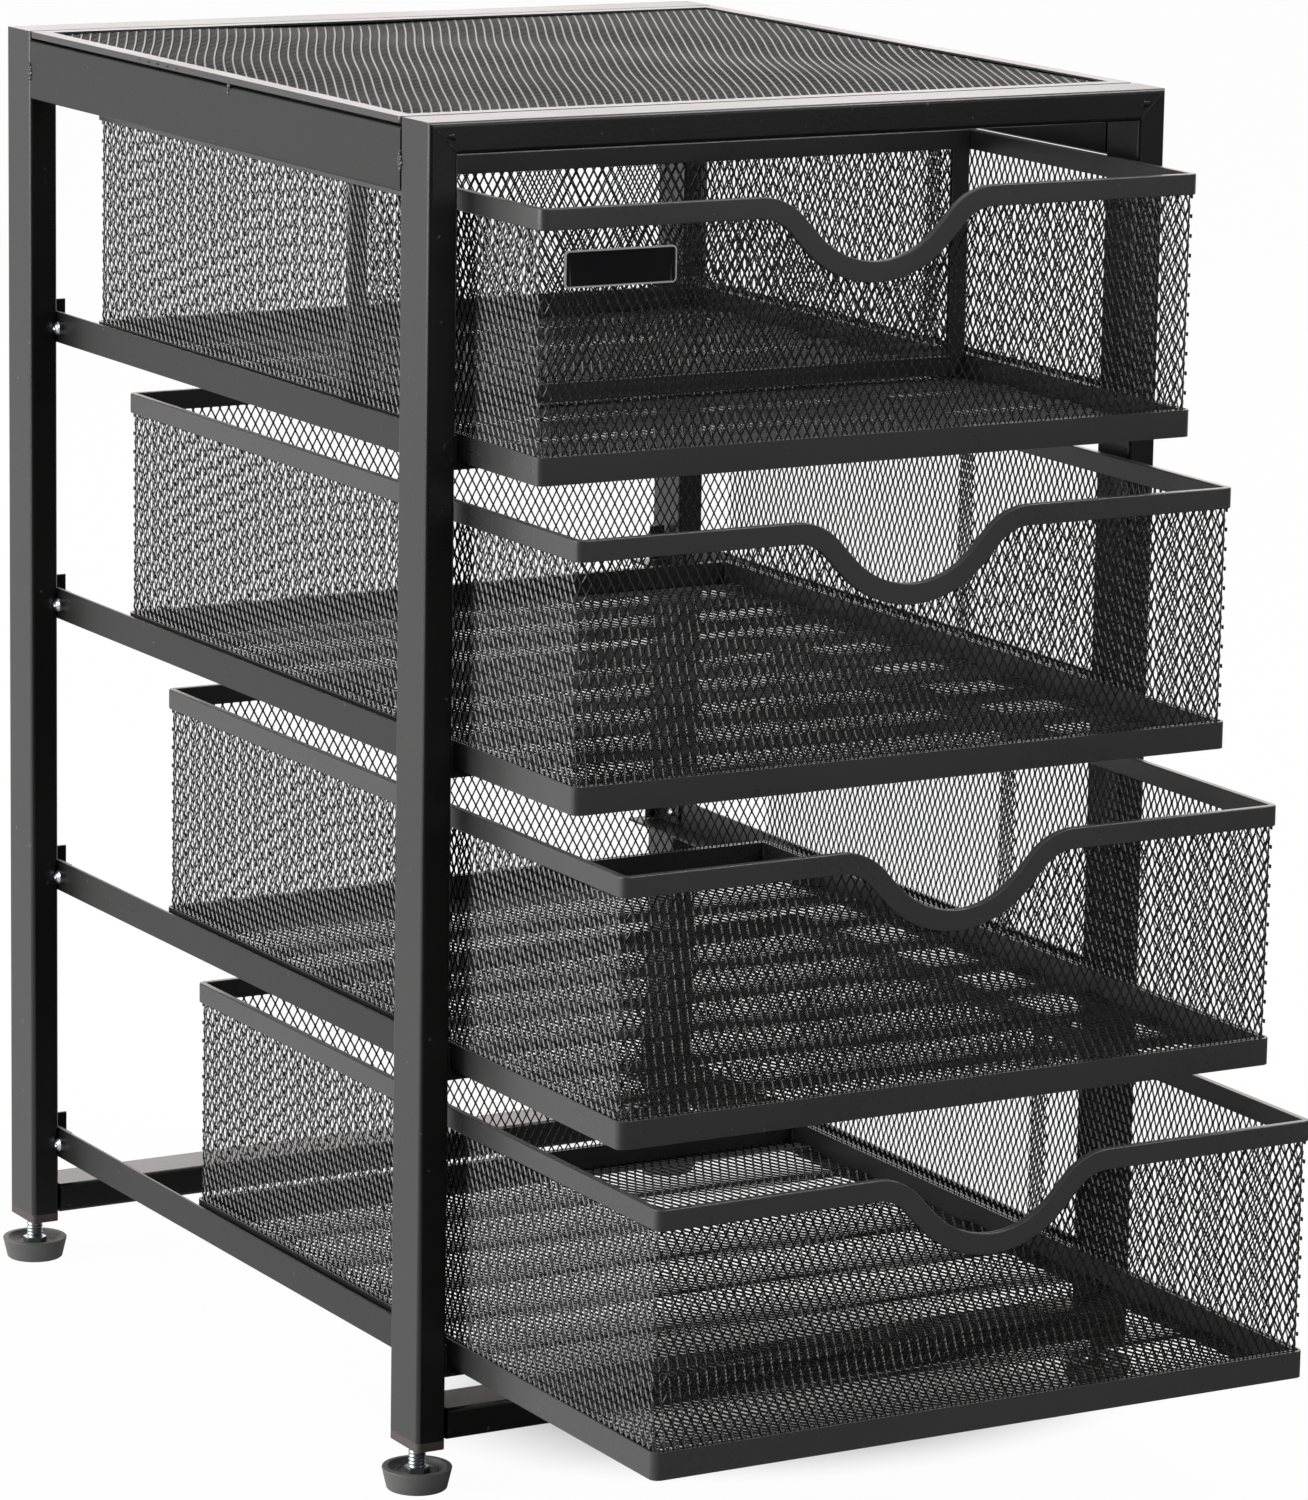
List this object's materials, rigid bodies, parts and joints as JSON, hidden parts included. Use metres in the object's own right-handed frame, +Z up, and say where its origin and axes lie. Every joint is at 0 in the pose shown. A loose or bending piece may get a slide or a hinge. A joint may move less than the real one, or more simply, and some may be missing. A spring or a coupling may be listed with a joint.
{
  "type": "desktop mini drawers",
  "caption": "Black steel tube frame with a mesh top and sliding expanded-mesh drawers, each with a dipped finger pull, on levelling feet.",
  "frame": {"origin": "on the floor, under the middle of the whole object's box with the drawers as stored", "axes": "+X to the right seen from the front, +Y to the back, +Z up; the drawers open along -Y"},
  "size_m": [0.29, 0.4522, 0.45],
  "materials": {
    "frame_black": "satin black powder coat",
    "mesh": "satin black powder coat on expanded steel",
    "zinc": "bright zinc plate",
    "rubber": "dull black",
    "plug": "dull dark brown",
    "plate": "smooth black, left blank"
  },
  "bodies": {
    "frame": {"post_front_left": "frame_black", "post_front_right": "frame_black", "post_rear_left": "frame_black", "post_rear_right": "frame_black", "front_top_tube": "frame_black", "rear_top_tube": "frame_black", "front_bottom_tube": "frame_black", "rear_bottom_tube": "frame_black", "left_top_rail": "frame_black", "right_top_rail": "frame_black", "top_panel_rim": "frame_black", "top_panel_mesh": "mesh", "runner_left_1": "frame_black", "runner_left_2": "frame_black", "runner_left_3": "frame_black", "runner_left_4": "frame_black", "runner_right_1": "frame_black", "runner_right_2": "frame_black", "runner_right_3": "frame_black", "runner_right_4": "frame_black", "stop_clip_left_1": "frame_black", "stop_clip_left_2": "frame_black", "stop_clip_left_3": "frame_black", "stop_clip_left_4": "frame_black", "stop_clip_right_1": "frame_black", "stop_clip_right_2": "frame_black", "stop_clip_right_3": "frame_black", "stop_clip_right_4": "frame_black", "stop_screws": "zinc", "leg_plug_front_left": "plug", "leg_plug_front_right": "plug", "leg_plug_rear_left": "plug", "leg_plug_rear_right": "plug"},
    "drawer_1": {"drawer_1_top_rim": "frame_black", "drawer_1_bottom_rim": "frame_black", "drawer_1_wall_mesh": "mesh", "drawer_1_floor_mesh": "mesh", "drawer_1_divider_rim": "frame_black", "drawer_1_divider_mesh": "mesh", "drawer_1_label_plate": "plate"},
    "drawer_2": {"drawer_2_top_rim": "frame_black", "drawer_2_bottom_rim": "frame_black", "drawer_2_wall_mesh": "mesh", "drawer_2_floor_mesh": "mesh"},
    "drawer_3": {"drawer_3_top_rim": "frame_black", "drawer_3_bottom_rim": "frame_black", "drawer_3_wall_mesh": "mesh", "drawer_3_floor_mesh": "mesh"},
    "drawer_4": {"drawer_4_top_rim": "frame_black", "drawer_4_bottom_rim": "frame_black", "drawer_4_wall_mesh": "mesh", "drawer_4_floor_mesh": "mesh"},
    "foot_front_left": {"foot_stem_front_left": "zinc", "foot_pad_front_left": "rubber"},
    "foot_front_right": {"foot_stem_front_right": "zinc", "foot_pad_front_right": "rubber"},
    "foot_rear_left": {"foot_stem_rear_left": "zinc", "foot_pad_rear_left": "rubber"},
    "foot_rear_right": {"foot_stem_rear_right": "zinc", "foot_pad_rear_right": "rubber"}
  },
  "joints": [
    {"name": "drawer_1_slide", "type": "slide", "parent": "frame", "child": "drawer_1", "axis": [0, -1, 0], "range_m": [-0.0291, 0.1104]},
    {"name": "drawer_2_slide", "type": "slide", "parent": "frame", "child": "drawer_2", "axis": [0, -1, 0], "range_m": [-0.0552, 0.0843]},
    {"name": "drawer_3_slide", "type": "slide", "parent": "frame", "child": "drawer_3", "axis": [0, -1, 0], "range_m": [-0.0869, 0.0526]},
    {"name": "drawer_4_slide", "type": "slide", "parent": "frame", "child": "drawer_4", "axis": [0, -1, 0], "range_m": [-0.112, 0.0275]},
    {"name": "foot_front_left_turn", "type": "hinge", "parent": "frame", "child": "foot_front_left", "pos_m": [-0.13325, -0.0886, 0.015], "axis": [0, 0, 1], "continuous": true},
    {"name": "foot_front_right_turn", "type": "hinge", "parent": "frame", "child": "foot_front_right", "pos_m": [0.13325, -0.0886, 0.015], "axis": [0, 0, 1], "continuous": true},
    {"name": "foot_rear_left_turn", "type": "hinge", "parent": "frame", "child": "foot_rear_left", "pos_m": [-0.13325, 0.2144, 0.015], "axis": [0, 0, 1], "continuous": true},
    {"name": "foot_rear_right_turn", "type": "hinge", "parent": "frame", "child": "foot_rear_right", "pos_m": [0.13325, 0.2144, 0.015], "axis": [0, 0, 1], "continuous": true}
  ]
}
